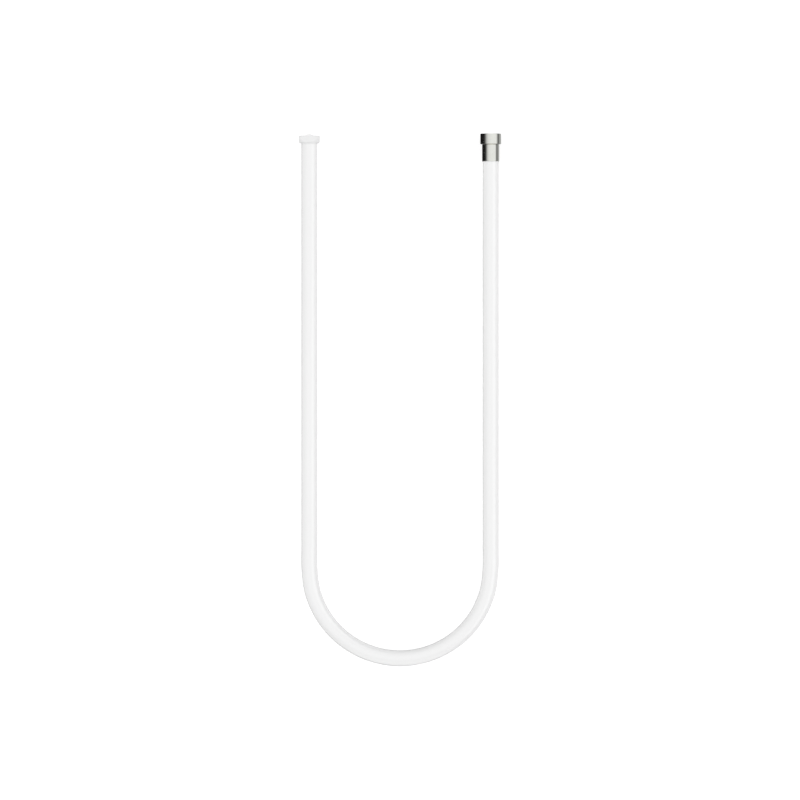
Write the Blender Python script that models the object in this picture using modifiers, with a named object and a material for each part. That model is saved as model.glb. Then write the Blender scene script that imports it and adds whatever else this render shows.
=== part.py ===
"""Shower hose with a swivel nut at each end, lying flat in a U.

Metres, +Z up, the floor at z = 0. Both legs run along Y, with the open end of the U and both mouths at +Y.
The origin is on the floor, under the middle of the object.
"""

import math

import bmesh
import bpy
from mathutils import Matrix, Vector

# The hose: an extruded tube.
HOSE_DIAMETER = 0.0176
HOSE_BORE = 0.0110
HOSE_RING_SPACING = 0.044
HOSE_RING_TURN = math.radians(8)
HOSE_BEVEL_RESOLUTION = 4

# The centreline, from the cut end in the metal fitting to the cut end in the white one. It leaves each
# fitting straight, comes down to the floor, and turns back in a half circle of about 101.5 mm.
ROUTE = [
    (0.1015, 0.2849, 0.0116),
    (0.1015, 0.2620, 0.0116),
    (0.1015, 0.2360, 0.0111),
    (0.1015, 0.2060, 0.0099),
    (0.1015, 0.1760, 0.00905),
    (0.1015, 0.1400, 0.00882),
    (0.1015, 0.0800, 0.0088),
    (0.1015, 0.0200, 0.0088),
    (0.1015, -0.0400, 0.0088),
    (0.1015, -0.1000, 0.0088),
    (0.1015, -0.1400, 0.0088),
    (0.1015, -0.1650, 0.0088),
    (0.1014, -0.1880, 0.0088),
    (0.0980, -0.2139, 0.0088),
    (0.0879, -0.2384, 0.0088),
    (0.0718, -0.2594, 0.0088),
    (0.0508, -0.2755, 0.0088),
    (0.0263, -0.2856, 0.0088),
    (0.0000, -0.2891, 0.0088),
    (-0.0263, -0.2856, 0.0088),
    (-0.0508, -0.2755, 0.0088),
    (-0.0718, -0.2594, 0.0088),
    (-0.0879, -0.2384, 0.0088),
    (-0.0980, -0.2139, 0.0088),
    (-0.1014, -0.1880, 0.0088),
    (-0.1015, -0.1650, 0.0088),
    (-0.1015, -0.1400, 0.0088),
    (-0.1015, -0.1000, 0.0088),
    (-0.1015, -0.0400, 0.0088),
    (-0.1015, 0.0200, 0.0088),
    (-0.1015, 0.0800, 0.0088),
    (-0.1015, 0.1400, 0.00882),
    (-0.1015, 0.1760, 0.00905),
    (-0.1015, 0.2060, 0.0099),
    (-0.1015, 0.2360, 0.0111),
    (-0.1015, 0.2620, 0.0116),
    (-0.1015, 0.2874, 0.0116),
]

# What touches keeps this gap.
CLEARANCE = 0.0003

# The G 1/2 pipe thread that both nuts take. Its helix is left out here: each socket has the tapping diameter.
THREAD_MAJOR = 0.020955
THREAD_MINOR = 0.018631

# The swivel nuts. Their walls are measured outside the thread's root.
METAL_NUT_WALL = 0.00112
METAL_NUT_LENGTH = 0.0116
METAL_NUT_SHOULDER = 0.0016
METAL_NUT_EDGE = 0.0003
WHITE_NUT_WALL = 0.00112
WHITE_NUT_CORNER_RADIUS = 0.0043
WHITE_NUT_LENGTH = 0.0078
WHITE_NUT_SHOULDER = 0.0012
WHITE_NUT_BASE_INSET = 0.0004
WHITE_NUT_BASE_TAPER = math.radians(37.5)
WHITE_NUT_TOP_OUTSET = 0.0010
WHITE_NUT_TOP_TAPER = math.radians(60)
THREAD_RELIEF = 0.0001

# The tails: a flange that the nut pulls on the seal, a neck that the nut turns on, and a barbed stem.
TAIL_NECK_DIAMETER = 0.0126
TAIL_BARB_HEIGHT = 0.0005
TAIL_BARB_PITCH = 0.0035
TAIL_BARB_LAND = 0.0006
TAIL_WALL = 0.00075
TAIL_EDGE = 0.0002
METAL_TAIL_FLANGE = 0.0016
METAL_TAIL_BARBS = 4
WHITE_TAIL_FLANGE = 0.0012
WHITE_TAIL_BARBS = 5

# The ferrule: a thin sleeve over the hose's end.
FERRULE_WALL = 0.00045
FERRULE_END_WALL = 0.0008
FERRULE_LENGTH = 0.0190
FERRULE_ROLL = 0.0002

# The seals. The strainer's hat is a short wall and a spherical crown with rings of holes in it.
WASHER_BORE = 0.0110
WASHER_THICKNESS = 0.0020
STRAINER_RING_THICKNESS = 0.0015
STRAINER_HAT_DIAMETER = 0.0120
STRAINER_CROWN_RADIUS = 0.0085
STRAINER_WALL = 0.0006
STRAINER_RISE = 0.0019
STRAINER_HOLE = 0.0010
STRAINER_HOLE_RINGS = ((0.0, 1), (0.0017, 6), (0.0034, 12))
STRAINER_HOLE_TURN = math.radians(3)
STRAINER_CROWN_STEPS = 5

TURNING_STEPS = 48
TAIL_STEPS = 36
HOLE_SIDES = 8
CORNER_SEGMENTS = 5
SHARP_ANGLE = math.radians(25)
MERGE_DISTANCE = 0.00001
CUTTER_MARGIN = 0.002

WHITE_RUBBER = ("white_rubber", (0.88, 0.88, 0.87), 0.42, 0.0)
WHITE_PLASTIC = ("white_plastic", (0.86, 0.86, 0.85), 0.30, 0.0)
POLISHED_METAL = ("polished_metal", (0.80, 0.80, 0.79), 0.08, 1.0)
TURNED_BRASS = ("turned_brass", (0.74, 0.58, 0.32), 0.30, 1.0)
NYLON = ("nylon", (0.82, 0.82, 0.78), 0.45, 0.0)
SEAL_RUBBER = ("seal_rubber", (0.06, 0.06, 0.06), 0.60, 0.0)


def clear_scene():
    for obj in list(bpy.data.objects):
        bpy.data.objects.remove(obj, do_unlink=True)


def new_collection(name):
    collection = bpy.data.collections.new(name)
    bpy.context.scene.collection.children.link(collection)
    return collection


def material(name, colour, roughness, metallic):
    found = bpy.data.materials.get(name)
    if found:
        return found
    made = bpy.data.materials.new(name)
    made.use_nodes = True
    shader = made.node_tree.nodes["Principled BSDF"]
    shader.inputs["Base Color"].default_value = (*colour, 1.0)
    shader.inputs["Roughness"].default_value = roughness
    shader.inputs["Metallic"].default_value = metallic
    made.diffuse_color = (*colour, 1.0)
    return made


def smooth_curve(points, spacing, turn):
    """Points along one smooth curve through the given points, never further apart than a length or a turn."""
    knots = [Vector(point) for point in points]
    chords = [(b - a).length for a, b in zip(knots, knots[1:])]
    slopes = [(b - a) / chord for a, b, chord in zip(knots, knots[1:], chords)]
    tangents = [slopes[0]]
    for before, after, left, right in zip(slopes, slopes[1:], chords, chords[1:]):
        tangents.append((before * right + after * left) / (left + right))
    tangents.append(slopes[-1])
    placed = []
    for a, b, out, into, chord in zip(knots, knots[1:], tangents, tangents[1:], chords):
        steps = math.ceil(max(chord / spacing, out.angle(into) / turn))
        for step in range(steps):
            t = step / steps
            placed.append(
                a * (2 * t**3 - 3 * t**2 + 1)
                + out * chord * (t**3 - 2 * t**2 + t)
                + b * (3 * t**2 - 2 * t**3)
                + into * chord * (t**3 - t**2)
            )
    placed.append(knots[-1])
    return placed


def fitting_empty(name, hose_end, collection):
    """An empty on the hose's cut end, with its own Z along the hose's axis and out of the mouth."""
    empty = bpy.data.objects.new(name, None)
    empty.location = hose_end
    empty.rotation_euler = (-math.pi / 2, 0.0, 0.0)
    empty.empty_display_size = 0.01
    collection.objects.link(empty)
    return empty


def profile_mesh(name, outline, closed):
    """A chain of edges in the XZ plane, from (radius, height) points that run down the outer side."""
    mesh = bpy.data.meshes.new(name)
    edges = [(i, i + 1) for i in range(len(outline) - 1)]
    if closed:
        edges.append((len(outline) - 1, 0))
    mesh.from_pydata([(radius, 0.0, height) for radius, height in outline], edges, [])
    return mesh


def turned(name, outline, collection, parent, closed=True, steps=TURNING_STEPS):
    """A solid of revolution about its own Z. An outline that isn't closed starts and ends on the axis."""
    obj = bpy.data.objects.new(name, profile_mesh(name, outline, closed))
    collection.objects.link(obj)
    obj.parent = parent
    screw = obj.modifiers.new("turn", "SCREW")
    screw.axis = "Z"
    screw.angle = 2 * math.pi
    screw.steps = steps
    screw.render_steps = steps
    screw.use_merge_vertices = True
    screw.merge_threshold = MERGE_DISTANCE
    return obj


def cutter(obj):
    obj.hide_render = True
    obj.display_type = "WIRE"
    return obj


def boolean(obj, operation, other):
    modifier = obj.modifiers.new(operation.lower(), "BOOLEAN")
    modifier.operation = operation
    modifier.solver = "EXACT"
    modifier.object = other


def finish(obj, look):
    """Gives the piece its material, and keeps its round faces smooth and its edges crisp."""
    bpy.context.view_layer.update()
    graph = bpy.context.evaluated_depsgraph_get()
    mesh = bpy.data.meshes.new_from_object(obj.evaluated_get(graph))
    mesh.name = obj.name
    obj.modifiers.clear()
    obj.data = mesh
    mesh.materials.clear()
    mesh.materials.append(material(*look))
    mesh.shade_smooth()
    mesh.set_sharp_from_angle(angle=SHARP_ANGLE)
    return obj


def make_hose(parts):
    """The tube: a swept circle without caps, with its wall grown inwards."""
    curve = bpy.data.curves.new("hose", "CURVE")
    curve.dimensions = "3D"
    curve.bevel_depth = HOSE_DIAMETER / 2
    curve.bevel_resolution = HOSE_BEVEL_RESOLUTION
    curve.use_fill_caps = False
    curve.twist_mode = "Z_UP"
    points = smooth_curve(ROUTE, HOSE_RING_SPACING, HOSE_RING_TURN)
    spline = curve.splines.new("POLY")
    spline.points.add(len(points) - 1)
    for place, point in zip(spline.points, points):
        place.co = (*point, 1.0)
    spline.use_smooth = True
    hose = bpy.data.objects.new("hose", curve)
    parts.objects.link(hose)
    wall = hose.modifiers.new("wall", "SOLIDIFY")
    wall.thickness = (HOSE_DIAMETER - HOSE_BORE) / 2
    wall.offset = -1.0
    curve.materials.append(material(*WHITE_RUBBER))
    return hose


def socket_outline(floor, relief_top, mouth, hole_radius, base):
    """The inside of a swivel nut, as an outline to cut away: neck hole, seal chamber, thread and lead-in."""
    major = THREAD_MAJOR / 2
    minor = THREAD_MINOR / 2
    chamber = major + THREAD_RELIEF
    return [
        (0.0, mouth + CUTTER_MARGIN),
        (major + CUTTER_MARGIN, mouth + CUTTER_MARGIN),
        (minor, mouth - (major - minor)),
        (minor, relief_top),
        (chamber, relief_top - (chamber - minor)),
        (chamber, floor),
        (hole_radius, floor),
        (hole_radius, base - CUTTER_MARGIN),
        (0.0, base - CUTTER_MARGIN),
    ]


def seal_radius():
    """What has to pass the thread to its seat: the seals and the tails' flanges."""
    return THREAD_MINOR / 2 - CLEARANCE


def tail_outline(neck_foot, flange_foot, flange, barbs):
    """A tail from its face down: flange, neck, then a stem with sharp-backed barbs that fill the hose's bore."""
    bore_sides = 4 + 2 * HOSE_BEVEL_RESOLUTION
    crest = HOSE_BORE / 2 * math.cos(math.pi / bore_sides) - CLEARANCE
    stem = crest - TAIL_BARB_HEIGHT
    waterway = stem - TAIL_WALL
    neck = TAIL_NECK_DIAMETER / 2
    rim = seal_radius()
    face = flange_foot + flange
    outline = [
        (waterway, face),
        (rim - TAIL_EDGE, face),
        (rim, face - TAIL_EDGE),
        (rim, flange_foot + TAIL_EDGE),
        (rim - TAIL_EDGE, flange_foot),
        (neck, flange_foot),
        (neck, neck_foot),
        (stem, neck_foot),
    ]
    top = neck_foot - TAIL_BARB_LAND
    for _ in range(barbs):
        outline.append((stem, top))
        outline.append((crest, top))
        outline.append((crest, top - TAIL_BARB_LAND))
        top -= TAIL_BARB_PITCH
        outline.append((stem, top + TAIL_BARB_LAND))
    outline.append((stem, top))
    outline.append((waterway, top))
    return outline


def make_metal_end(parts, cutters):
    """The metal fitting. Heights are measured from the hose's cut end."""
    end = fitting_empty("metal_end", ROUTE[0], parts)
    neck = TAIL_NECK_DIAMETER / 2
    neck_hole = neck + CLEARANCE
    sleeve_bore = HOSE_DIAMETER / 2 + CLEARANCE
    sleeve = sleeve_bore + FERRULE_WALL
    ferrule_top = CLEARANCE + FERRULE_END_WALL
    ferrule_foot = ferrule_top - FERRULE_LENGTH
    ferrule = turned(
        "ferrule",
        [
            (neck_hole, ferrule_top),
            (sleeve - FERRULE_ROLL, ferrule_top),
            (sleeve, ferrule_top - FERRULE_ROLL),
            (sleeve, ferrule_foot + FERRULE_ROLL),
            (sleeve - FERRULE_ROLL, ferrule_foot),
            (sleeve_bore, ferrule_foot),
            (sleeve_bore, CLEARANCE),
            (neck_hole, CLEARANCE),
        ],
        parts,
        end,
    )
    finish(ferrule, POLISHED_METAL)

    base = ferrule_top + CLEARANCE
    mouth = base + METAL_NUT_LENGTH
    floor = base + METAL_NUT_SHOULDER
    flange_foot = floor + CLEARANCE
    washer_foot = flange_foot + METAL_TAIL_FLANGE + CLEARANCE
    washer_top = washer_foot + WASHER_THICKNESS
    radius = THREAD_MAJOR / 2 + METAL_NUT_WALL
    nut = turned(
        "metal_nut",
        [
            (0.0, mouth),
            (radius - METAL_NUT_EDGE, mouth),
            (radius, mouth - METAL_NUT_EDGE),
            (radius, base + METAL_NUT_EDGE),
            (radius - METAL_NUT_EDGE, base),
            (0.0, base),
        ],
        parts,
        end,
        closed=False,
    )
    socket = turned(
        "metal_nut_socket",
        socket_outline(floor, washer_top + CLEARANCE, mouth, neck_hole, base),
        cutters,
        end,
        closed=False,
    )
    boolean(nut, "DIFFERENCE", cutter(socket))
    finish(nut, POLISHED_METAL)

    tail = turned(
        "metal_tail",
        tail_outline(CLEARANCE, flange_foot, METAL_TAIL_FLANGE, METAL_TAIL_BARBS),
        parts,
        end,
        steps=TAIL_STEPS,
    )
    finish(tail, TURNED_BRASS)

    outer = seal_radius()
    inner = WASHER_BORE / 2
    washer = turned(
        "metal_end_washer",
        [(inner, washer_top), (outer, washer_top), (outer, washer_foot), (inner, washer_foot)],
        parts,
        end,
    )
    finish(washer, SEAL_RUBBER)


def rounded_square(name, flats, corner, low, high, collection, parent):
    """A square prism about Z, from low to high, with rounded corners."""
    mesh = bpy.data.meshes.new(name)
    form = bmesh.new()
    bmesh.ops.create_cube(form, size=1.0)
    for vertex in form.verts:
        vertex.co.x *= flats
        vertex.co.y *= flats
        vertex.co.z = low if vertex.co.z < 0 else high
    upright = [e for e in form.edges if abs(e.verts[0].co.z - e.verts[1].co.z) > MERGE_DISTANCE]
    bmesh.ops.bevel(
        form,
        geom=upright,
        offset=corner,
        offset_type="OFFSET",
        segments=CORNER_SEGMENTS,
        profile=0.5,
        affect="EDGES",
    )
    form.to_mesh(mesh)
    form.free()
    obj = bpy.data.objects.new(name, mesh)
    collection.objects.link(obj)
    obj.parent = parent
    return obj


def white_nut_outline(flat, base, mouth):
    """The turned form that trims the corners of the square: a long taper below, a flat one above."""
    base_radius = flat - WHITE_NUT_BASE_INSET
    top_radius = flat + WHITE_NUT_TOP_OUTSET
    corner = (flat - WHITE_NUT_CORNER_RADIUS) * math.sqrt(2) + WHITE_NUT_CORNER_RADIUS
    return [
        (0.0, mouth),
        (top_radius, mouth),
        (corner, mouth - (corner - top_radius) / math.tan(WHITE_NUT_TOP_TAPER)),
        (corner, base + (corner - base_radius) / math.tan(WHITE_NUT_BASE_TAPER)),
        (base_radius, base),
        (0.0, base),
    ]


def strainer_outline(foot, mouth):
    """The strainer: a flat ring, and a hat whose crown stands out of the nut's mouth."""
    ring_top = foot + STRAINER_RING_THICKNESS
    peak = mouth + STRAINER_RISE
    centre = peak - STRAINER_CROWN_RADIUS
    outer_hat = STRAINER_HAT_DIAMETER / 2
    inner_hat = outer_hat - STRAINER_WALL

    def crown(radius, reach):
        steep = math.asin(reach / radius)
        angles = [steep * i / STRAINER_CROWN_STEPS for i in range(STRAINER_CROWN_STEPS + 1)]
        return [(radius * math.sin(a), centre + radius * math.cos(a)) for a in angles]

    outside = crown(STRAINER_CROWN_RADIUS, outer_hat)
    inside = crown(STRAINER_CROWN_RADIUS - STRAINER_WALL, inner_hat)
    ring = seal_radius()
    return (
        outside
        + [(outer_hat, ring_top), (ring, ring_top), (ring, foot), (inner_hat, foot)]
        + list(reversed(inside))
    )


def strainer_holes(low, high, collection, parent):
    """One cutter with a thin prism for each hole of the crown."""
    mesh = bpy.data.meshes.new("strainer_holes")
    form = bmesh.new()
    for ring_radius, count in STRAINER_HOLE_RINGS:
        for index in range(count):
            made = bmesh.ops.create_cone(
                form,
                cap_ends=True,
                segments=HOLE_SIDES,
                radius1=STRAINER_HOLE / 2,
                radius2=STRAINER_HOLE / 2,
                depth=high - low,
            )
            angle = 2 * math.pi * index / count + STRAINER_HOLE_TURN
            place = Vector((math.cos(angle), math.sin(angle), 0.0)) * ring_radius
            place.z = (low + high) / 2
            bmesh.ops.rotate(form, verts=made["verts"], matrix=Matrix.Rotation(angle, 3, "Z"))
            bmesh.ops.translate(form, verts=made["verts"], vec=place)
    form.to_mesh(mesh)
    form.free()
    obj = bpy.data.objects.new("strainer_holes", mesh)
    collection.objects.link(obj)
    obj.parent = parent
    return obj


def make_white_end(parts, cutters):
    """The white fitting. Heights are measured from the hose's cut end."""
    end = fitting_empty("white_end", ROUTE[-1], parts)
    neck_hole = TAIL_NECK_DIAMETER / 2 + CLEARANCE
    base = CLEARANCE
    mouth = base + WHITE_NUT_LENGTH
    floor = base + WHITE_NUT_SHOULDER
    flange_foot = floor + CLEARANCE
    seal_foot = flange_foot + WHITE_TAIL_FLANGE + CLEARANCE
    seal_top = seal_foot + STRAINER_RING_THICKNESS
    flat = THREAD_MAJOR / 2 + WHITE_NUT_WALL
    nut = turned("white_nut", white_nut_outline(flat, base, mouth), parts, end, closed=False)
    square = rounded_square(
        "white_nut_flats",
        2 * flat,
        WHITE_NUT_CORNER_RADIUS,
        base - CUTTER_MARGIN,
        mouth + CUTTER_MARGIN,
        cutters,
        end,
    )
    boolean(nut, "INTERSECT", cutter(square))
    socket = turned(
        "white_nut_socket",
        socket_outline(floor, seal_top + CLEARANCE, mouth, neck_hole, base),
        cutters,
        end,
        closed=False,
    )
    boolean(nut, "DIFFERENCE", cutter(socket))
    finish(nut, WHITE_PLASTIC)

    tail = turned(
        "white_tail",
        tail_outline(CLEARANCE, flange_foot, WHITE_TAIL_FLANGE, WHITE_TAIL_BARBS),
        parts,
        end,
        steps=TAIL_STEPS,
    )
    finish(tail, WHITE_PLASTIC)

    strainer = turned(
        "strainer_washer", strainer_outline(seal_foot, mouth), parts, end, closed=False
    )
    holes = strainer_holes(seal_top, mouth + STRAINER_RISE + CUTTER_MARGIN, cutters, end)
    boolean(strainer, "DIFFERENCE", cutter(holes))
    finish(strainer, NYLON)


def main():
    clear_scene()
    parts = new_collection("shower_hose")
    cutters = new_collection("cutters")
    make_hose(parts)
    make_metal_end(parts, cutters)
    make_white_end(parts, cutters)


main()
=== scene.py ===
"""Looks of the shower hose: a smooth white hose laid in a U, with a metal and a white swivel nut.

Metres, +Z up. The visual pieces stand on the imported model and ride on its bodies.
"""

import math

import bmesh
import bpy
from mathutils import Matrix, Vector


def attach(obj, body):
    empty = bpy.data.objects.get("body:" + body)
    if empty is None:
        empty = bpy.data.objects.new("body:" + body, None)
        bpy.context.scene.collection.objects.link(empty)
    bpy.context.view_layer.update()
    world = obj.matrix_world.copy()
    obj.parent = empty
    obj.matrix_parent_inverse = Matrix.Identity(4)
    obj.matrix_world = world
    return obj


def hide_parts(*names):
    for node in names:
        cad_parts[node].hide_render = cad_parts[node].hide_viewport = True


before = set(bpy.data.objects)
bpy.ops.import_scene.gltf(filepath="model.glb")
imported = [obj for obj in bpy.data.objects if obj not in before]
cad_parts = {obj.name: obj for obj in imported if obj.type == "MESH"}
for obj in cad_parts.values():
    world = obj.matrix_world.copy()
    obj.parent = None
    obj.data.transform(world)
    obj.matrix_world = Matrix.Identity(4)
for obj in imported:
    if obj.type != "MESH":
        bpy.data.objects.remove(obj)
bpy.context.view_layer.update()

# Sizes, as in the model.
HOSE_RADIUS = 0.0088
BORE_RADIUS = 0.0055
ROUTE = [
    (0.1015, 0.2849, 0.0116),
    (0.1015, 0.2620, 0.0116),
    (0.1015, 0.2360, 0.0111),
    (0.1015, 0.2060, 0.0099),
    (0.1015, 0.1760, 0.00905),
    (0.1015, 0.1400, 0.00882),
    (0.1015, 0.0800, 0.0088),
    (0.1015, 0.0200, 0.0088),
    (0.1015, -0.0400, 0.0088),
    (0.1015, -0.1000, 0.0088),
    (0.1015, -0.1400, 0.0088),
    (0.1015, -0.1650, 0.0088),
    (0.1014, -0.1880, 0.0088),
    (0.0980, -0.2139, 0.0088),
    (0.0879, -0.2384, 0.0088),
    (0.0718, -0.2594, 0.0088),
    (0.0508, -0.2755, 0.0088),
    (0.0263, -0.2856, 0.0088),
    (0.0000, -0.2891, 0.0088),
    (-0.0263, -0.2856, 0.0088),
    (-0.0508, -0.2755, 0.0088),
    (-0.0718, -0.2594, 0.0088),
    (-0.0879, -0.2384, 0.0088),
    (-0.0980, -0.2139, 0.0088),
    (-0.1014, -0.1880, 0.0088),
    (-0.1015, -0.1650, 0.0088),
    (-0.1015, -0.1400, 0.0088),
    (-0.1015, -0.1000, 0.0088),
    (-0.1015, -0.0400, 0.0088),
    (-0.1015, 0.0200, 0.0088),
    (-0.1015, 0.0800, 0.0088),
    (-0.1015, 0.1400, 0.00882),
    (-0.1015, 0.1760, 0.00905),
    (-0.1015, 0.2060, 0.0099),
    (-0.1015, 0.2360, 0.0111),
    (-0.1015, 0.2620, 0.0116),
    (-0.1015, 0.2874, 0.0116),
]
RING_STEP = 0.004
HOSE_SIDES = 48

GAP = 0.0003
THREAD_MAJOR = 0.020955 / 2
THREAD_MINOR = 0.018631 / 2
THREAD_PITCH = 0.0254 / 14
SOCKET_RELIEF = THREAD_MAJOR + 0.0001
SEAL_RADIUS = THREAD_MINOR - GAP
NECK_RADIUS = 0.0063
NECK_HOLE = NECK_RADIUS + GAP
THREAD_SAMPLES = 20
THREAD_LEAD = 0.0007
THREAD_RUNOUT = 0.0005
SIDES = 128
WHITE_NUT_SIDES = 240
INNER_SIDES = 96
MERGE = 1e-6

TAIL_BORE = 0.003763
TAIL_STEM = 0.004513
TAIL_CREST = 0.005013
BARB_PITCH = 0.0035
BARB_LAND = 0.0006

NUT_WALL = 0.00112
METAL_RADIUS = THREAD_MAJOR + NUT_WALL
METAL_BASE = 0.0014
METAL_FLOOR = METAL_BASE + 0.0016
METAL_MOUTH = METAL_BASE + 0.0116
METAL_SEAL = METAL_FLOOR + GAP + 0.0016 + GAP
METAL_SEAL_TOP = METAL_SEAL + 0.0020
SEAL_BORE = 0.0055

WHITE_FLAT = THREAD_MAJOR + NUT_WALL
WHITE_CORNER = 0.0043
WHITE_BASE = GAP
WHITE_FLOOR = WHITE_BASE + 0.0012
WHITE_MOUTH = WHITE_BASE + 0.0078
WHITE_SEAL = WHITE_FLOOR + GAP + 0.0012 + GAP
WHITE_SEAL_TOP = WHITE_SEAL + 0.0015

FERRULE_BORE = HOSE_RADIUS + GAP
FERRULE_RADIUS = FERRULE_BORE + 0.00045
FERRULE_TOP = GAP + 0.0008
FERRULE_FOOT = FERRULE_TOP - 0.0190

HAT_RADIUS = 0.0060
HAT_WALL = 0.0006
CROWN_RADIUS = 0.0085
CROWN_RISE = 0.0019
HOLE_RADIUS = 0.0005
HOLE_RINGS = ((0.0, 1), (0.0017, 6), (0.0034, 12))
HOLE_TURN = math.radians(3)

# How bright the tent is. TENT_ENDS is the share by which it fades towards both ends of the hose.
TENT_LEVEL = 1.19
TENT_ENDS = 0.60
NEAR_END = 0.80
NEAR_FROM = -0.72
NEAR_TO = -0.97

# The tent as polished metal shows it: degrees round the hose from straight up, and the level.
TENT_SHADES = (
    (-180, 0.014),
    (-90, 0.012),
    (-76, 0.030),
    (-62, 0.19),
    (-48, 0.55),
    (-36, 0.75),
    (-24, 0.87),
    (0, 0.94),
    (16, 0.97),
    (56, 0.96),
    (68, 0.84),
    (78, 0.46),
    (86, 0.20),
    (96, 0.12),
    (104, 0.28),
    (116, 0.39),
    (130, 0.48),
    (165, 0.50),
    (180, 0.20),
)

# The part of a noise's range that is spread over a colour or a roughness.
NOISE_LOW = 0.3
NOISE_HIGH = 0.7


# Camera, floor and light.
def make_camera():
    """Straight above the hose and far off, so that it is seen without perspective."""
    data = bpy.data.cameras.new("camera")
    camera = bpy.data.objects.new("camera", data)
    bpy.context.scene.collection.objects.link(camera)
    distance = 8.0
    hose_height = 0.0116
    width = 0.8952
    data.sensor_width = 36.0
    data.lens = data.sensor_width * distance / width
    data.clip_start = 0.1
    data.clip_end = 100.0
    camera.location = (0.0, 0.0, hose_height + distance)
    camera.rotation_euler = (0.0, 0.0, 0.0)
    bpy.context.scene.camera = camera


def floor_sheet(name, height, shade, glow):
    form = bmesh.new()
    bmesh.ops.create_grid(form, x_segments=2, y_segments=2, size=30.0)
    mesh = bpy.data.meshes.new(name)
    form.to_mesh(mesh)
    form.free()
    floor = bpy.data.objects.new(name, mesh)
    floor.location = (0.0, 0.0, height)
    bpy.context.scene.collection.objects.link(floor)
    look = bpy.data.materials.new(name)
    look.use_nodes = True
    shader = look.node_tree.nodes["Principled BSDF"]
    shader.inputs["Base Color"].default_value = (shade, shade, shade, 1.0)
    shader.inputs["Roughness"].default_value = 0.9
    shader.inputs["Specular IOR Level"].default_value = 0.0
    shader.inputs["Emission Color"].default_value = (1.0, 1.0, 1.0, 1.0)
    shader.inputs["Emission Strength"].default_value = glow
    mesh.materials.append(look)
    floor.visible_glossy = False
    return floor


def make_floor():
    """A light table for the camera, and under it the floor that lights the hose from below."""
    table = floor_sheet("light_table", height=-0.0002, shade=0.40, glow=0.72)
    table.visible_diffuse = False
    table.visible_shadow = False
    bounce = floor_sheet("white_floor", height=-0.0004, shade=0.90, glow=0.18)
    bounce.visible_camera = False


def grey(level):
    return (level, level, level, 1.0)


def fill_ramp(ramp, stops):
    """Sets a ramp to (position, colour) stops, of which the first is at 0 and the last at 1."""
    elements = ramp.color_ramp.elements
    elements[0].color = stops[0][1]
    elements[1].color = stops[-1][1]
    for position, colour in stops[1:-1]:
        elements.new(position).color = colour


def make_light():
    """A light tent. Metal shows it bright above, dark on the left and grey on the right."""
    scene = bpy.context.scene
    scene.view_settings.view_transform = "Standard"
    world = bpy.data.worlds.new("tent")
    world.use_nodes = True
    scene.world = world
    nodes = world.node_tree.nodes
    link = world.node_tree.links.new

    def calculate(operation, a, b):
        node = nodes.new("ShaderNodeMath")
        node.operation = operation
        link(a, node.inputs[0])
        link(b, node.inputs[1])
        return node.outputs[0]

    def spread(value, from_min, from_max, to_min=0.0, to_max=1.0, curve="LINEAR"):
        node = nodes.new("ShaderNodeMapRange")
        node.interpolation_type = curve
        node.inputs["From Min"].default_value = from_min
        node.inputs["From Max"].default_value = from_max
        node.inputs["To Min"].default_value = to_min
        node.inputs["To Max"].default_value = to_max
        link(value, node.inputs["Value"])
        return node.outputs[0]

    def mix(factor):
        """A colour mix, as its two colour inputs and its output."""
        node = nodes.new("ShaderNodeMix")
        node.data_type = "RGBA"
        link(factor, node.inputs[0])
        return node.inputs[6], node.inputs[7], node.outputs[2]

    background = nodes["Background"]
    path = nodes.new("ShaderNodeLightPath")
    mirrored = path.outputs["Is Glossy Ray"]
    coords = nodes.new("ShaderNodeTexCoord")
    split = nodes.new("ShaderNodeSeparateXYZ")
    link(coords.outputs["Generated"], split.inputs[0])
    x, y, z = (split.outputs[axis] for axis in "XYZ")

    ramp = nodes.new("ShaderNodeValToRGB")
    fill_ramp(ramp, [((degrees + 180) / 360, grey(level)) for degrees, level in TENT_SHADES])
    link(spread(calculate("ARCTAN2", x, z), -math.pi, math.pi), ramp.inputs[0])
    plain, shaded, seen = mix(mirrored)
    plain.default_value = grey(TENT_LEVEL)
    link(ramp.outputs[0], shaded)

    # A mirror also shows the bright opening at the bend's end. It is as bright as NEAR_END there.
    near = spread(y, NEAR_FROM, NEAR_TO, curve="SMOOTHSTEP")
    tent, opening, colour = mix(calculate("MULTIPLY", near, mirrored))
    link(seen, tent)
    opening.default_value = grey(NEAR_END / (1 - TENT_ENDS))
    link(colour, background.inputs["Color"])

    fade = spread(calculate("MULTIPLY", y, y), 0.0, 1.0, 1.0, 1.0 - TENT_ENDS)
    strength = calculate("MAXIMUM", fade, path.outputs["Is Camera Ray"])
    link(strength, background.inputs["Strength"])

    lamp("top_light", lean=0.0, distance=3.0, width=3.0, length=3.0, power=0.5)
    lamp("right_light", lean=58.0, distance=3.0, width=2.0, length=2.0, power=3.4)
    lamp("left_light", lean=-65.0, distance=3.0, width=2.0, length=2.0, power=4.4)


def lamp(name, lean, distance, width, length, power):
    """An area light over the hose that no surface mirrors. lean is in degrees to the right."""
    data = bpy.data.lights.new(name, "AREA")
    data.shape = "RECTANGLE"
    data.size = width
    data.size_y = length
    data.energy = power
    light = bpy.data.objects.new(name, data)
    turn = math.radians(lean)
    light.location = (distance * math.sin(turn), 0.0, distance * math.cos(turn))
    light.rotation_euler = (0.0, turn, 0.0)
    light.visible_glossy = False
    light.visible_camera = False
    bpy.context.scene.collection.objects.link(light)
    return light


def show_only_on(light, pieces):
    group = bpy.data.collections.new("lit_by_" + light.name)
    for piece in pieces:
        group.objects.link(piece)
    light.light_linking.receiver_collection = group


def mirror_only(light):
    """Makes a light show as a highlight and light nothing."""
    light.visible_glossy = True
    light.visible_diffuse = False


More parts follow.
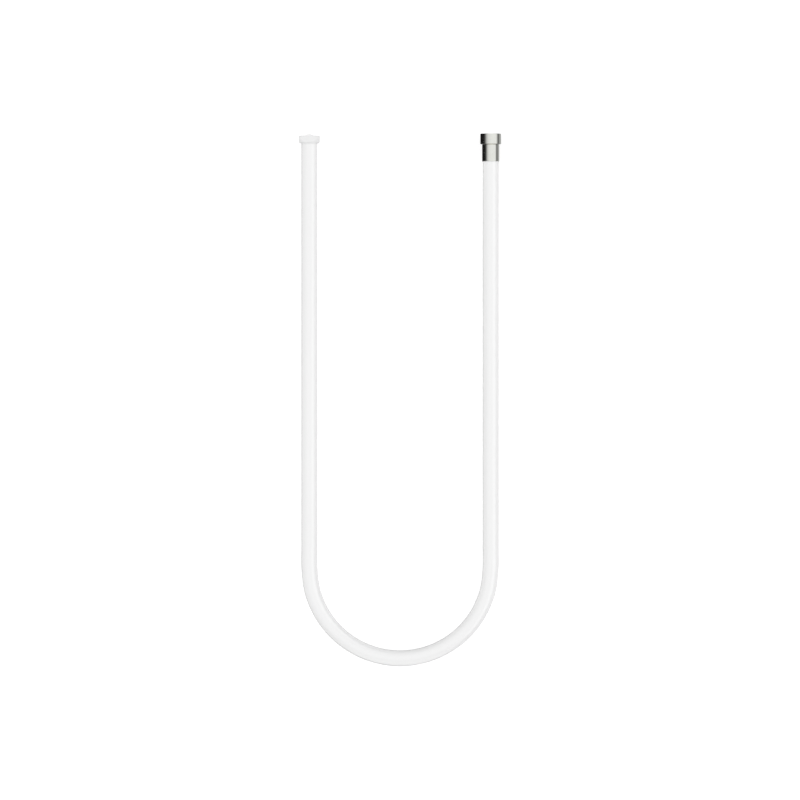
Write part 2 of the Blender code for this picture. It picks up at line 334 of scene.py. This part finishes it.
def end_lamp(name, x, end, width, height, power):
    """An area light low beyond an end of the U: 1 is the open end, -1 the bend."""
    distance = 2.0
    rise = math.radians(10)
    light = lamp(name, 0.0, distance, width, height, power)
    light.location = (x, end * distance * math.cos(rise), distance * math.sin(rise))
    light.rotation_euler = (end * (rise - math.pi / 2), 0.0, 0.0)
    return light


def make_linked_lights(hose, metal_fitting, white_fitting):
    """Lights for single pieces: highlights on the hose and the metal mouth, and soft fills."""
    strip = lamp("strip_light", lean=52.0, distance=2.0, width=1.4, length=4.0, power=10.0)
    mirror_only(strip)
    show_only_on(strip, [hose])

    metal_x = ROUTE[0][0]
    card = end_lamp("metal_card", metal_x, end=1, width=5.0, height=4.5, power=28.0)
    card.data.spread = math.radians(100)
    mirror_only(card)
    show_only_on(card, metal_fitting)

    white_x = ROUTE[-1][0]
    far = end_lamp("far_fill", white_x, end=1, width=1.0, height=1.0, power=4.2)
    show_only_on(far, white_fitting)
    near = end_lamp("near_fill", white_x, end=-1, width=1.0, height=1.0, power=6.0)
    show_only_on(near, white_fitting)


# Materials.
def new_look(name, colour, roughness, metallic=0.0, specular=0.5):
    """A material and its shader. vary_colour and vary_roughness replace the fixed values."""
    look = bpy.data.materials.new(name)
    look.use_nodes = True
    shader = look.node_tree.nodes["Principled BSDF"]
    shader.inputs["Base Color"].default_value = (*colour, 1.0)
    shader.inputs["Roughness"].default_value = roughness
    shader.inputs["Metallic"].default_value = metallic
    shader.inputs["Specular IOR Level"].default_value = specular
    look.diffuse_color = (*colour, 1.0)
    return look, shader


def noise(look, coordinate, scale, detail=3.0, stretch=(1.0, 1.0, 1.0)):
    """A noise value. Object coordinates and the hose's UVs are in metres."""
    nodes = look.node_tree.nodes
    link = look.node_tree.links.new
    coords = nodes.new("ShaderNodeTexCoord")
    mapping = nodes.new("ShaderNodeMapping")
    mapping.inputs["Scale"].default_value = stretch
    texture = nodes.new("ShaderNodeTexNoise")
    texture.inputs["Scale"].default_value = scale
    texture.inputs["Detail"].default_value = detail
    link(coords.outputs[coordinate], mapping.inputs["Vector"])
    link(mapping.outputs[0], texture.inputs["Vector"])
    return texture.outputs[0]


def vary_colour(look, shader, value, low, high):
    nodes = look.node_tree.nodes
    link = look.node_tree.links.new
    ramp = nodes.new("ShaderNodeValToRGB")
    ramp.color_ramp.elements[0].position = NOISE_LOW
    ramp.color_ramp.elements[0].color = (*low, 1.0)
    ramp.color_ramp.elements[1].position = NOISE_HIGH
    ramp.color_ramp.elements[1].color = (*high, 1.0)
    link(value, ramp.inputs[0])
    link(ramp.outputs[0], shader.inputs["Base Color"])


def vary_roughness(look, shader, value, low, high):
    nodes = look.node_tree.nodes
    link = look.node_tree.links.new
    spread = nodes.new("ShaderNodeMapRange")
    spread.inputs["From Min"].default_value = NOISE_LOW
    spread.inputs["From Max"].default_value = NOISE_HIGH
    spread.inputs["To Min"].default_value = low
    spread.inputs["To Max"].default_value = high
    link(value, spread.inputs["Value"])
    link(spread.outputs[0], shader.inputs["Roughness"])


def add_bump(look, shader, value, depth, strength):
    """Surface relief of a real depth. A second call stands on the first."""
    nodes = look.node_tree.nodes
    link = look.node_tree.links.new
    bump = nodes.new("ShaderNodeBump")
    bump.inputs["Strength"].default_value = strength
    bump.inputs["Distance"].default_value = depth
    link(value, bump.inputs["Height"])
    before = shader.inputs["Normal"].links
    if before:
        link(before[0].from_socket, bump.inputs["Normal"])
    link(bump.outputs[0], shader.inputs["Normal"])


def hose_look():
    """Extruded soft vinyl: faint streaks along its length, and slight waves from the die."""
    look, shader = new_look("white_vinyl", (0.86, 0.86, 0.86), 0.14, specular=1.0)
    streaks = noise(look, "UV", 1.0, detail=4.0, stretch=(3.0, 900.0, 1.0))
    waves = noise(look, "UV", 1.0, detail=2.0, stretch=(1.5, 220.0, 1.0))
    grain = noise(look, "Object", 2600.0)
    vary_colour(look, shader, waves, (0.853, 0.853, 0.853), (0.867, 0.867, 0.867))
    vary_roughness(look, shader, streaks, 0.11, 0.17)
    add_bump(look, shader, waves, depth=0.00006, strength=0.30)
    add_bump(look, shader, streaks, depth=0.00004, strength=0.25)
    add_bump(look, shader, grain, depth=0.00001, strength=0.20)
    return look


def polished_look():
    """Plated metal, with the turning lines and fine wiping marks left under the polish."""
    look, shader = new_look("polished_metal", (0.80, 0.805, 0.760), 0.06, metallic=1.0)
    haze = noise(look, "Object", 260.0, detail=4.0)
    lines = noise(look, "Object", 1.0, detail=2.0, stretch=(60.0, 9000.0, 60.0))
    vary_colour(look, shader, haze, (0.785, 0.792, 0.745), (0.812, 0.818, 0.775))
    vary_roughness(look, shader, haze, 0.04, 0.08)
    add_bump(look, shader, lines, depth=0.000004, strength=0.15)
    return look


def turned_brass_look():
    """Brass as it leaves the lathe: rings along the axis, and a slight dulling in patches."""
    look, shader = new_look("turned_brass", (0.84, 0.73, 0.47), 0.26, metallic=1.0)
    haze = noise(look, "Object", 300.0)
    lines = noise(look, "Object", 1.0, detail=2.0, stretch=(30.0, 6000.0, 30.0))
    vary_colour(look, shader, haze, (0.81, 0.70, 0.44), (0.86, 0.76, 0.50))
    vary_roughness(look, shader, haze, 0.20, 0.32)
    add_bump(look, shader, lines, depth=0.000006, strength=0.2)
    return look


def white_plastic_look():
    """Moulded white plastic with a satin mould finish."""
    look, shader = new_look("white_plastic", (0.785, 0.785, 0.785), 0.33)
    flow = noise(look, "Object", 90.0)
    grain = noise(look, "Object", 5200.0, detail=2.0)
    vary_colour(look, shader, flow, (0.772, 0.772, 0.772), (0.798, 0.798, 0.798))
    vary_roughness(look, shader, flow, 0.28, 0.38)
    add_bump(look, shader, flow, depth=0.00008, strength=0.25)
    add_bump(look, shader, grain, depth=0.000008, strength=0.25)
    return look


def nylon_look():
    """Natural nylon, a little translucent."""
    look, shader = new_look("white_nylon", (0.95, 0.95, 0.945), 0.42)
    shader.inputs["Subsurface Weight"].default_value = 0.12
    shader.inputs["Subsurface Radius"].default_value = (0.0006, 0.0006, 0.0005)
    shader.inputs["Subsurface Scale"].default_value = 1.0
    flow = noise(look, "Object", 160.0)
    grain = noise(look, "Object", 6000.0, detail=2.0)
    vary_colour(look, shader, flow, (0.94, 0.94, 0.935), (0.965, 0.965, 0.96))
    vary_roughness(look, shader, flow, 0.36, 0.5)
    add_bump(look, shader, grain, depth=0.000008, strength=0.3)
    return look


def seal_look():
    """Matt black rubber with a little dust on it."""
    look, shader = new_look("seal_rubber", (0.05, 0.05, 0.052), 0.6)
    dust = noise(look, "Object", 900.0, detail=5.0)
    grain = noise(look, "Object", 7000.0)
    vary_colour(look, shader, dust, (0.035, 0.035, 0.037), (0.07, 0.07, 0.07))
    vary_roughness(look, shader, dust, 0.5, 0.72)
    add_bump(look, shader, grain, depth=0.00002, strength=0.4)
    return look


# Geometry.
def new_object(name, mesh, look):
    obj = bpy.data.objects.new(name, mesh)
    bpy.context.scene.collection.objects.link(obj)
    mesh.materials.append(look)
    return obj


def close_up(form, name, sharp=math.radians(34)):
    """Joins what meets, points the faces outward and shades the round faces smooth."""
    bmesh.ops.remove_doubles(form, verts=form.verts, dist=MERGE)
    bmesh.ops.dissolve_degenerate(form, dist=MERGE, edges=form.edges)
    bmesh.ops.recalc_face_normals(form, faces=form.faces)
    mesh = bpy.data.meshes.new(name)
    form.to_mesh(mesh)
    form.free()
    mesh.shade_smooth()
    mesh.set_sharp_from_angle(angle=sharp)
    return mesh


def at_end(end):
    """Local Z runs along the hose and out of the mouth, from the hose's cut end."""
    return Matrix.Translation(Vector(end)) @ Matrix.Rotation(-math.pi / 2, 4, "X")


def rounded(points, radius, steps=4):
    """A closed outline with each corner rounded. radius is one number, or one for each corner."""
    radii = radius if isinstance(radius, (list, tuple)) else [radius] * len(points)
    out = []
    count = len(points)
    for i, bend in enumerate(radii):
        corner = Vector(points[i])
        before = Vector(points[i - 1]) - corner
        after = Vector(points[(i + 1) % count]) - corner
        room = min(before.length, after.length) * 0.48
        turn = before.angle(after)
        if bend <= 0 or turn > math.radians(178):
            out.append(corner)
            continue
        reach = min(bend / math.tan(turn / 2), room)
        a = corner + before.normalized() * reach
        b = corner + after.normalized() * reach
        for step in range(steps + 1):
            t = step / steps
            out.append(a * (1 - t) ** 2 + corner * 2 * t * (1 - t) + b * t**2)
    return [(p[0], p[1]) for p in out]


def revolve(form, rings, matrix, closed=True, thread=0):
    """Rings of (radius, height) points, one list for each angle, joined into a skin.

    The first thread points of a ring follow a thread, which climbs one pitch in a turn.
    """
    count = len(rings)
    verts = []
    for i, ring in enumerate(rings):
        angle = 2 * math.pi * i / count
        cos, sin = math.cos(angle), math.sin(angle)
        verts.append([form.verts.new(matrix @ Vector((r * cos, r * sin, z))) for r, z in ring])
    length = len(rings[0])
    for i in range(count):
        here, there = verts[i], verts[(i + 1) % count]
        if thread and i == count - 1:
            climbed = [there[max(j - THREAD_SAMPLES, 0)] for j in range(thread)]
            there = climbed + there[thread:]
        for j in range(length if closed else length - 1):
            k = (j + 1) % length
            if there[j] is not there[k]:
                form.faces.new((here[j], there[j], there[k], here[k]))


def turned(name, outline, end, look, sides=SIDES):
    """A turned piece: a closed outline of (radius, height) points, spun round the end's axis."""
    form = bmesh.new()
    revolve(form, [outline] * sides, at_end(end))
    return new_object(name, close_up(form, name), look)


def smooth_curve(points, spacing):
    """Points along one smooth curve through the route."""
    knots = [Vector(point) for point in points]
    chords = [(b - a).length for a, b in zip(knots, knots[1:])]
    slopes = [(b - a) / chord for a, b, chord in zip(knots, knots[1:], chords)]
    tangents = [slopes[0]]
    for before, after, left, right in zip(slopes, slopes[1:], chords, chords[1:]):
        tangents.append((before * right + after * left) / (left + right))
    tangents.append(slopes[-1])
    placed = []
    for a, b, out, into, chord in zip(knots, knots[1:], tangents, tangents[1:], chords):
        steps = math.ceil(chord / spacing)
        for step in range(steps):
            t = step / steps
            placed.append(
                a * (2 * t**3 - 3 * t**2 + 1)
                + out * chord * (t**3 - 2 * t**2 + t)
                + b * (3 * t**2 - 2 * t**3)
                + into * chord * (t**3 - t**2)
            )
    placed.append(knots[-1])
    return placed


def make_hose(look):
    """The tube, skin and bore, with square-cut ends. UVs are in metres, along and around."""
    path = smooth_curve(ROUTE, RING_STEP)
    form = bmesh.new()
    uv = form.loops.layers.uv.new("metres")
    rows = []
    run = 0.0
    for i, point in enumerate(path):
        along = (path[min(i + 1, len(path) - 1)] - path[max(i - 1, 0)]).normalized()
        side = along.cross(Vector((0.0, 0.0, 1.0))).normalized()
        up = side.cross(along).normalized()
        if i:
            run += (point - path[i - 1]).length
        skin, bore = [], []
        for s in range(HOSE_SIDES):
            angle = 2 * math.pi * s / HOSE_SIDES
            out = side * math.cos(angle) + up * math.sin(angle)
            skin.append(form.verts.new(point + out * HOSE_RADIUS))
            bore.append(form.verts.new(point + out * BORE_RADIUS))
        rows.append((skin, bore, run))
    around = 2 * math.pi * HOSE_RADIUS / HOSE_SIDES
    wall = HOSE_RADIUS - BORE_RADIUS

    def quad(corners, places):
        face = form.faces.new(corners)
        for loop, place in zip(face.loops, places):
            loop[uv].uv = place

    for (skin_a, bore_a, run_a), (skin_b, bore_b, run_b) in zip(rows, rows[1:]):
        for s in range(HOSE_SIDES):
            n = (s + 1) % HOSE_SIDES
            u0, u1 = s * around, (s + 1) * around
            quad(
                (skin_a[s], skin_a[n], skin_b[n], skin_b[s]),
                ((run_a, u0), (run_a, u1), (run_b, u1), (run_b, u0)),
            )
            quad(
                (bore_a[n], bore_a[s], bore_b[s], bore_b[n]),
                ((run_a, u1), (run_a, u0), (run_b, u0), (run_b, u1)),
            )
    for skin, bore, run in (rows[0], rows[-1]):
        for s in range(HOSE_SIDES):
            n = (s + 1) % HOSE_SIDES
            u0, u1 = s * around, (s + 1) * around
            quad(
                (skin[n], skin[s], bore[s], bore[n]),
                ((run, u1), (run, u0), (run + wall, u0), (run + wall, u1)),
            )
    mesh = close_up(form, "hose_tube", sharp=math.radians(60))
    return new_object("hose_tube", mesh, look), path


def thread_radius(turn):
    """The thread's radius at a share of its pitch: rounded crests and roots, steep flanks."""
    depth = THREAD_MAJOR - THREAD_MINOR
    wave = abs((turn % 1.0) * 2 - 1)
    steep = min(max((wave - 0.5) * 1.5 + 0.5, 0.0), 1.0)
    smooth = steep * steep * (3 - 2 * steep)
    return THREAD_MINOR + depth * (0.45 * steep + 0.55 * smooth)


def socket_column(share, floor, thread_from, mouth, hole, base):
    """A nut's inside at one angle, from the mouth down: the threaded part, and what is below it.

    The thread starts with a lead-in and ends in an undercut. The seal's chamber, the floor and
    the hole for the neck follow.
    """
    fade = SOCKET_RELIEF - THREAD_MINOR

    def cut(z):
        lead = THREAD_MINOR + fade * max(1 - (mouth - z) / THREAD_LEAD, 0.0)
        undercut = THREAD_MINOR + fade * max(1 - (z - thread_from) / THREAD_RUNOUT, 0.0)
        return max(lead, undercut)

    low = math.floor((thread_from - THREAD_PITCH) / THREAD_PITCH)
    high = math.ceil((mouth + THREAD_PITCH) / THREAD_PITCH)
    column = []
    for i in range((high - low) * THREAD_SAMPLES, -1, -1):
        turns = low + i / THREAD_SAMPLES
        z = (turns + share) * THREAD_PITCH
        radius = thread_radius(i / THREAD_SAMPLES)
        z = min(max(z, thread_from), mouth)
        column.append((max(radius, cut(z)), z))
    inner = rounded(
        [
            (SOCKET_RELIEF, thread_from),
            (SOCKET_RELIEF, floor),
            (hole, floor),
            (hole, base),
        ],
        [0.0, 0.0003, 0.0002, 0.0],
    )
    return column, inner[1:]


def make_metal_nut(look):
    """A round nut, bored and threaded, with rounded outer edges."""
    form = bmesh.new()
    edge = 0.00045
    outside = [(METAL_RADIUS, METAL_BASE), (METAL_RADIUS, METAL_MOUTH)]
    rings = []
    for i in range(SIDES):
        column, inner = socket_column(
            i / SIDES, METAL_FLOOR, METAL_SEAL_TOP + GAP, METAL_MOUTH, NECK_HOLE, METAL_BASE
        )
        shell = rounded(
            [(NECK_HOLE, METAL_BASE), *outside, (SOCKET_RELIEF, METAL_MOUTH)],
            [0.0002, edge, edge, 0.0],
            6,
        )
        rings.append(column + inner[:-1] + shell[:-1])
    revolve(form, rings, at_end(ROUTE[0]), thread=len(column))
    mesh = close_up(form, "metal_nut_turned", sharp=math.radians(50))
    return new_object("metal_nut_turned", mesh, look)


def square_reach(angle):
    """Distance from the axis to a square with rounded corners, at an angle from a flat's middle."""
    turn = (angle + math.pi / 4) % (math.pi / 2) - math.pi / 4
    flat = WHITE_FLAT / math.cos(turn)
    core = WHITE_FLAT - WHITE_CORNER
    if abs(math.tan(turn)) * WHITE_FLAT <= core:
        return flat
    x, y = math.cos(abs(turn)), math.sin(abs(turn))
    along = core * (x + y)
    return along + math.sqrt(along**2 - 2 * core**2 + WHITE_CORNER**2)


def soft_min(a, b, blend):
    """The smaller of two, with the corner between them rounded over."""
    h = max(blend - abs(a - b), 0.0) / blend
    return min(a, b) - h * h * blend * 0.25


def make_white_nut(look):
    """A square with rounded corners, trimmed by a long taper below and a flat one above."""
    form = bmesh.new()
    base_radius = WHITE_FLAT - 0.0004
    top_radius = WHITE_FLAT + 0.0010
    long_taper = math.tan(math.radians(37.5))
    flat_taper = math.tan(math.radians(60))
    levels = 56
    base = 0.00003
    edge = 0.0003
    rings = []
    for i in range(WHITE_NUT_SIDES):
        share = i / WHITE_NUT_SIDES
        column, inner = socket_column(
            share, WHITE_FLOOR, WHITE_SEAL_TOP + GAP, WHITE_MOUTH, NECK_HOLE, base
        )
        reach = square_reach(2 * math.pi * i / WHITE_NUT_SIDES)
        shell = []
        for level in range(levels + 1):
            z = base + (WHITE_MOUTH - base) * (level / levels)
            below = base_radius + (z - WHITE_BASE) * long_taper
            above = top_radius + (WHITE_MOUTH - z) * flat_taper
            radius = soft_min(soft_min(reach, below, 0.0006), above, 0.0004)
            for near in (z - base, WHITE_MOUTH - z):
                if near < edge:
                    radius -= edge - math.sqrt(edge**2 - (edge - near) ** 2)
            shell.append((radius, z))
        rings.append(column + inner + shell + [(SOCKET_RELIEF, WHITE_MOUTH)])
    revolve(form, rings, at_end(ROUTE[-1]), thread=len(column))
    mesh = close_up(form, "white_nut_moulded", sharp=math.radians(50))
    return new_object("white_nut_moulded", mesh, look)


def make_ferrule(look):
    """A drawn sleeve: end wall round the neck, soft shoulder, and a lip rolled in at the foot."""
    lip = 0.00012
    outline = rounded(
        [
            (NECK_HOLE, FERRULE_TOP),
            (FERRULE_RADIUS, FERRULE_TOP),
            (FERRULE_RADIUS, FERRULE_FOOT + 0.0009),
            (FERRULE_RADIUS - lip, FERRULE_FOOT),
            (FERRULE_BORE - lip, FERRULE_FOOT),
            (FERRULE_BORE, FERRULE_FOOT + 0.0009),
            (FERRULE_BORE, GAP),
            (NECK_HOLE, GAP),
        ],
        [0.0001, 0.0005, 0.0006, 0.00018, 0.00012, 0.0003, 0.0002, 0.0001],
        6,
    )
    return turned("ferrule_sleeve", outline, ROUTE[0], look)


def make_tail(name, end, foot, face, barbs, look):
    """A turned tail: countersunk flange, neck for the nut, and a barbed stem."""
    corners = [
        ((TAIL_BORE, face - 0.0004), 0.0002),
        ((TAIL_BORE + 0.0004, face), 0.0002),
        ((SEAL_RADIUS, face), 0.0002),
        ((SEAL_RADIUS, foot), 0.0002),
        ((NECK_RADIUS, foot), 0.00015),
        ((NECK_RADIUS, GAP), 0.0002),
        ((TAIL_STEM, GAP), 0.00015),
    ]
    top = GAP - BARB_LAND
    for _ in range(barbs):
        corners.append(((TAIL_STEM, top), 0.0001))
        corners.append(((TAIL_CREST, top), 0.00005))
        corners.append(((TAIL_CREST, top - BARB_LAND), 0.0001))
        top -= BARB_PITCH
        corners.append(((TAIL_STEM, top + BARB_LAND), 0.0001))
    corners.append(((TAIL_STEM, top), 0.0001))
    corners.append(((TAIL_BORE, top), 0.0001))
    outline = rounded([c[0] for c in corners], [c[1] for c in corners], 3)
    return turned(name, outline, end, look, INNER_SIDES)


def make_metal_seal(look):
    """A flat ring with slightly rounded edges."""
    outline = rounded(
        [
            (SEAL_BORE, METAL_SEAL_TOP),
            (SEAL_RADIUS, METAL_SEAL_TOP),
            (SEAL_RADIUS, METAL_SEAL),
            (SEAL_BORE, METAL_SEAL),
        ],
        0.00018,
    )
    return turned("metal_seal", outline, ROUTE[0], look)


def make_strainer(look):
    """A flat seal with a moulded hat, whose spherical crown is pierced by rings of holes."""
    peak = WHITE_MOUTH + CROWN_RISE
    centre = peak - CROWN_RADIUS
    drill_top = peak + 0.002

    def crown(radius, reach):
        """Points of a spherical cap, from its peak out to a reach from the axis."""
        steps = 12
        steep = math.asin(reach / radius)
        return [
            (radius * math.sin(steep * i / steps), centre + radius * math.cos(steep * i / steps))
            for i in range(steps + 1)
        ]

    inner_hat = HAT_RADIUS - HAT_WALL
    shoulder = crown(CROWN_RADIUS, HAT_RADIUS - 0.0002)
    outline = (
        shoulder
        + [(HAT_RADIUS, shoulder[-1][1] - 0.0002)]
        + rounded(
            [
                (HAT_RADIUS, shoulder[-1][1] - 0.0003),
                (HAT_RADIUS, WHITE_SEAL_TOP),
                (SEAL_RADIUS, WHITE_SEAL_TOP),
                (SEAL_RADIUS, WHITE_SEAL),
                (inner_hat, WHITE_SEAL),
                (inner_hat, crown(CROWN_RADIUS - HAT_WALL, inner_hat)[-1][1]),
            ],
            [0.0, 0.0002, 0.0002, 0.0002, 0.0001, 0.0],
        )[:-1]
        + list(reversed(crown(CROWN_RADIUS - HAT_WALL, inner_hat)))
    )
    form = bmesh.new()
    revolve(form, [outline] * INNER_SIDES, Matrix.Identity(4), closed=False)
    body = new_object("strainer_blank", close_up(form, "strainer_blank"), look)

    drill = bmesh.new()
    for ring_radius, count in HOLE_RINGS:
        for index in range(count):
            angle = 2 * math.pi * index / count + HOLE_TURN
            made = bmesh.ops.create_cone(
                drill,
                cap_ends=True,
                segments=20,
                radius1=HOLE_RADIUS,
                radius2=HOLE_RADIUS,
                depth=drill_top - WHITE_SEAL_TOP,
            )
            bmesh.ops.rotate(drill, verts=made["verts"], matrix=Matrix.Rotation(angle, 3, "Z"))
            place = (
                ring_radius * math.cos(angle),
                ring_radius * math.sin(angle),
                (drill_top + WHITE_SEAL_TOP) / 2,
            )
            bmesh.ops.translate(drill, verts=made["verts"], vec=place)
    drill_mesh = bpy.data.meshes.new("drill")
    drill.to_mesh(drill_mesh)
    drill.free()
    drill_body = bpy.data.objects.new("drill", drill_mesh)
    bpy.context.scene.collection.objects.link(drill_body)
    pierce = body.modifiers.new("pierce", "BOOLEAN")
    pierce.operation = "DIFFERENCE"
    pierce.solver = "EXACT"
    pierce.object = drill_body
    bpy.context.view_layer.update()
    graph = bpy.context.evaluated_depsgraph_get()
    drilled = bmesh.new()
    drilled.from_mesh(bpy.data.meshes.new_from_object(body.evaluated_get(graph)))
    bmesh.ops.transform(drilled, matrix=at_end(ROUTE[-1]), verts=drilled.verts)
    bpy.data.objects.remove(drill_body, do_unlink=True)
    bpy.data.objects.remove(body, do_unlink=True)
    return new_object("strainer_hat", close_up(drilled, "strainer_hat"), look)


# The piece.
make_camera()
make_floor()
make_light()

metal = polished_look()
plastic = white_plastic_look()

hose, hose_path = make_hose(hose_look())
metal_nut = make_metal_nut(metal)
ferrule = make_ferrule(metal)
metal_seal = make_metal_seal(seal_look())
white_nut = make_white_nut(plastic)
strainer = make_strainer(nylon_look())
metal_tail = make_tail(
    "metal_tail_turned", ROUTE[0], METAL_FLOOR + GAP, METAL_SEAL - GAP, 4, turned_brass_look()
)
white_tail = make_tail(
    "white_tail_moulded", ROUTE[-1], WHITE_FLOOR + GAP, WHITE_SEAL - GAP, 5, plastic
)

for piece, body, node, slot in (
    (hose, "hose", "hose", "hose_skin"),
    (metal_nut, "metal_nut", "metal_nut", "polished_metal"),
    (ferrule, "hose", "ferrule", "polished_metal"),
    (metal_tail, "hose", "metal_tail", "turned_brass"),
    (metal_seal, "hose", "metal_end_washer", "seal_rubber"),
    (white_nut, "white_nut", "white_nut", "white_plastic"),
    (white_tail, "hose", "white_tail", "white_plastic"),
    (strainer, "hose", "strainer_washer", "strainer_plastic"),
):
    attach(piece, body)
    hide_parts(node)

make_linked_lights(hose, [metal_nut, ferrule, metal_tail], [white_nut, strainer])

# The polished metal shows only the tent: the other leg and its fitting stay out of it.
for piece in (hose, white_nut, strainer):
    piece.visible_glossy = False
